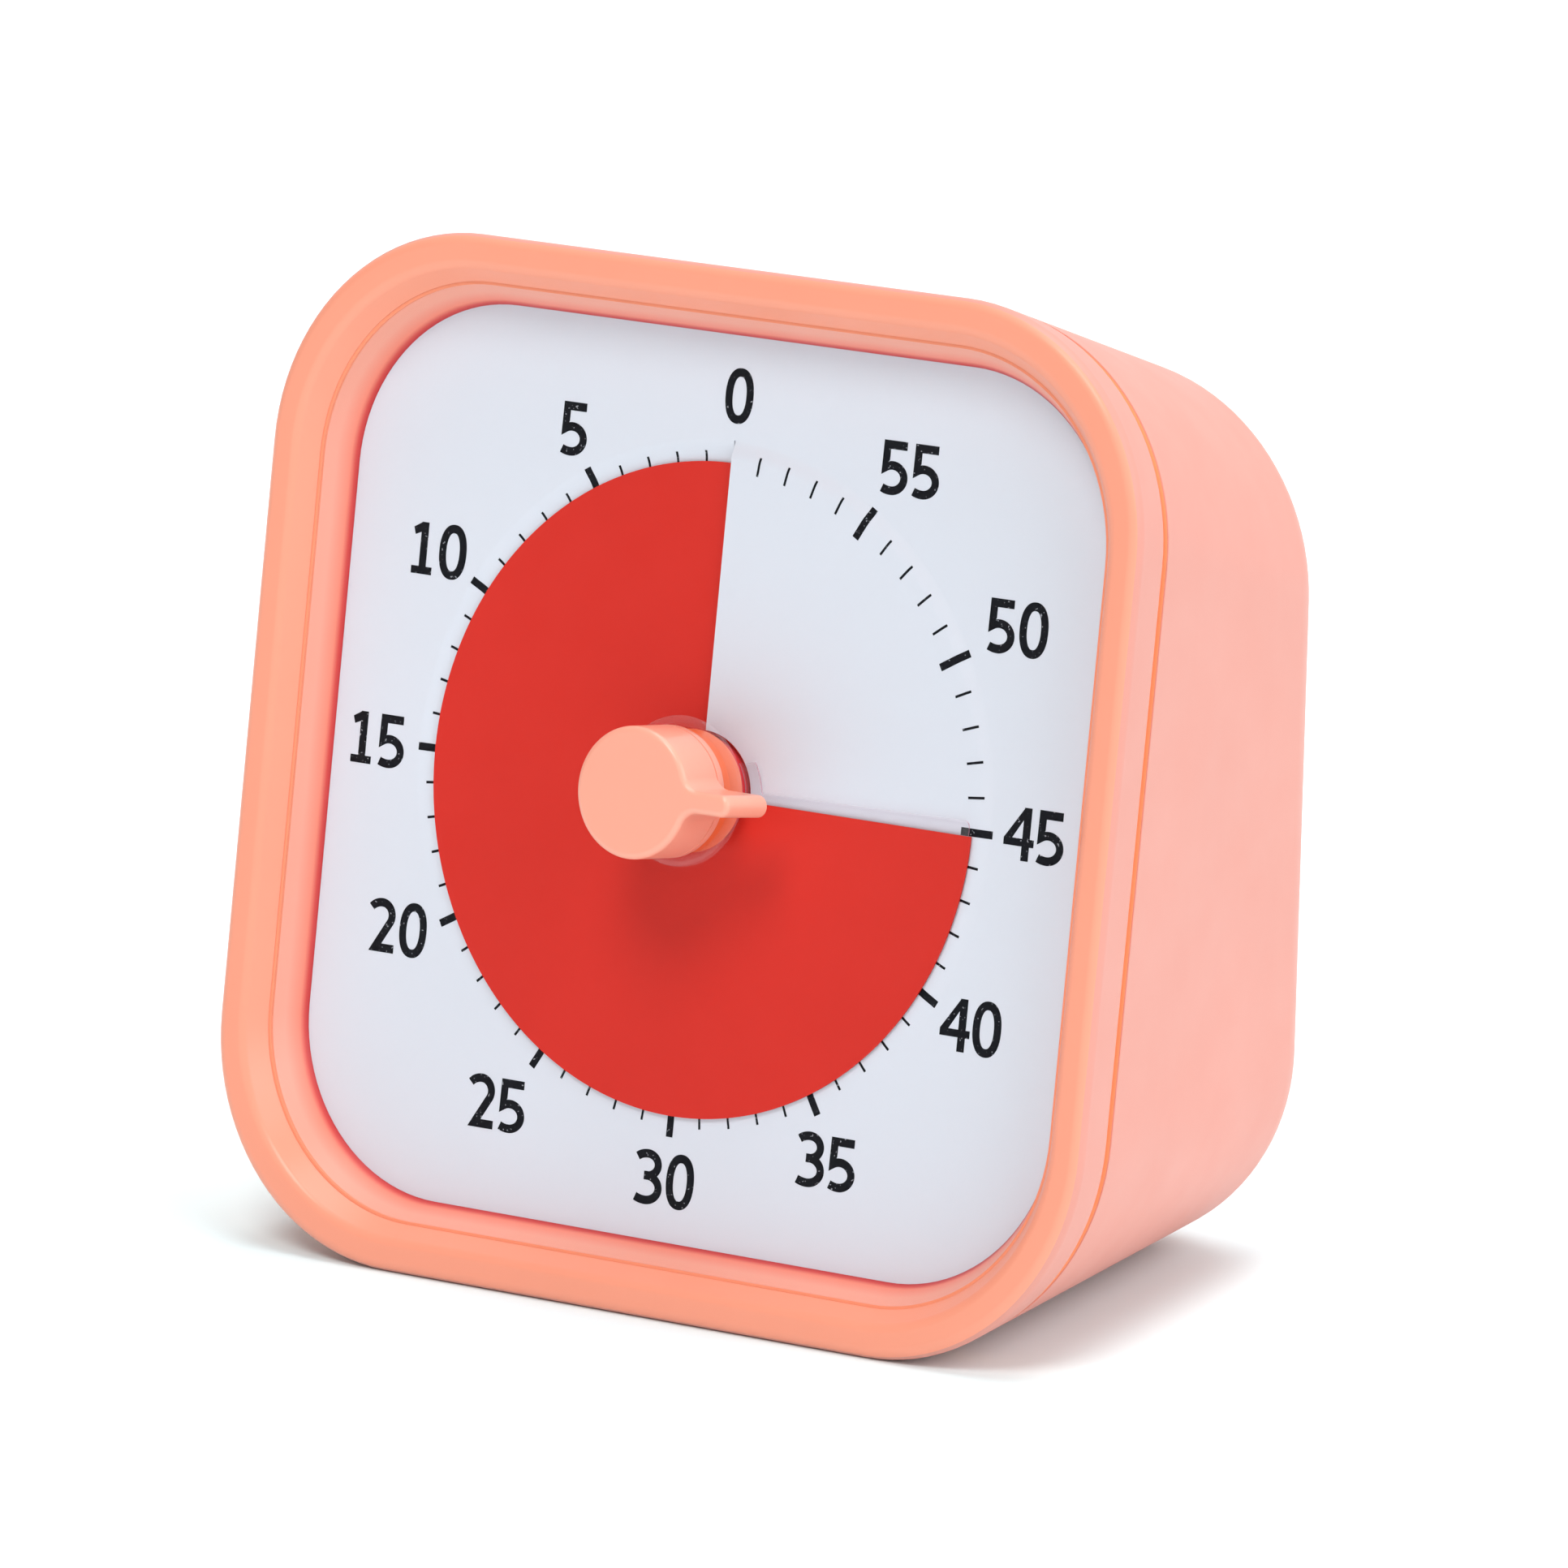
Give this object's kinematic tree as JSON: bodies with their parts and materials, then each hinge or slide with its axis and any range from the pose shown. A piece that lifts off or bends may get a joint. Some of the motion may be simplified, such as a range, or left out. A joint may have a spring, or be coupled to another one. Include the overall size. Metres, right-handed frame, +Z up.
{
  "type": "countdown timer",
  "caption": "Square free-standing countdown timer with a leaning dial, a centre knob and a red disk that comes out of a slit in the dial.",
  "frame": {"origin": "middle of the bounding box on the plane that the timer stands on", "axes": "+Z up, the leaning dial faces -Y, +X is to the right of someone looking at the dial"},
  "size_m": [0.0886, 0.051, 0.0874],
  "materials": {
    "coral_plastic": "fine satin moulding",
    "coral_skin": "soft matte",
    "coral_knob": "smooth satin",
    "clear_window": "clear polished",
    "white_card": "smooth matte print base",
    "red_film": "satin film",
    "white_plastic": "matte moulding",
    "clear_red_hub": "smooth",
    "acetal": "smooth",
    "steel": "bright",
    "brass": "turned",
    "magnet": "sintered",
    "copper_wire": "enamelled wire",
    "black_plastic": "matte",
    "board_green": "solder mask",
    "cell_jacket": "printed steel jacket",
    "nickel": "nickel plate"
  },
  "bodies": {
    "housing": {"front_frame": "coral_plastic", "lens": "clear_window", "dial_surround": "coral_plastic", "dial_card": "white_card", "dial_backplate": "white_plastic", "sleeve": "coral_skin", "inner_housing": "white_plastic", "rear_cover": "coral_plastic", "rear_cover_screws": "steel", "battery_tray": "white_plastic", "battery_cell": "cell_jacket", "contact_spring": "nickel", "contact_plate": "nickel", "circuit_board": "board_green", "crystal_can": "nickel", "driver_chip": "black_plastic", "buzzer": "black_plastic", "switch_body": "black_plastic", "board_screws": "steel", "movement_case_front": "white_plastic", "movement_case_rear": "white_plastic", "movement_screws": "steel", "shaft_bushing": "brass", "stator": "steel", "coil_core": "steel", "coil_bobbin": "black_plastic", "coil_winding": "copper_wire"},
    "drive": {"knob": "coral_knob", "knob_stem": "coral_plastic", "shaft": "steel", "centre_wheel": "acetal", "clutch_spring": "brass", "clutch_washer": "steel"},
    "disk": {"red_disk": "red_film", "disk_hub": "clear_red_hub"},
    "third": {"third_wheel": "acetal", "third_arbor": "steel"},
    "rotor": {"rotor_pinion": "acetal", "rotor_magnet": "magnet"},
    "switch": {"switch_slider": "black_plastic"},
    "door": {"battery_door": "coral_plastic"}
  },
  "joints": [
    {"name": "knob_turn", "type": "hinge", "parent": "housing", "child": "drive", "pos_m": [0, -0.01323, 0.04303], "axis": [0, -0.9863, 0.165], "range_deg": [-270, 90]},
    {"name": "disk_lift", "type": "slide", "parent": "drive", "child": "disk", "axis": [0, -0.9863, 0.165], "range_m": [-0.000541, 0.000181]},
    {"name": "third_wheel_spin", "type": "hinge", "parent": "housing", "child": "third", "pos_m": [-0.009, -0.01521, 0.0312], "axis": [0, -0.9863, 0.165], "range_deg": [-361, 1081]},
    {"name": "rotor_spin", "type": "hinge", "parent": "housing", "child": "rotor", "pos_m": [-0.0215, -0.01521, 0.0312], "axis": [0, -0.9863, 0.165], "range_deg": [-4321, 1441]},
    {"name": "switch_slide", "type": "slide", "parent": "housing", "child": "switch", "axis": [1, 0, 0], "range_m": [0, 0.0026]},
    {"name": "battery_door_pull", "type": "slide", "parent": "housing", "child": "door", "axis": [0, 1, 0], "range_m": [0, 0.025]}
  ],
  "couplings": [
    {"joint": "disk_lift", "follows": "knob_turn", "m_per_rad": 0.00011459},
    {"joint": "third_wheel_spin", "follows": "knob_turn", "ratio": -4},
    {"joint": "rotor_spin", "follows": "knob_turn", "ratio": 16}
  ]
}
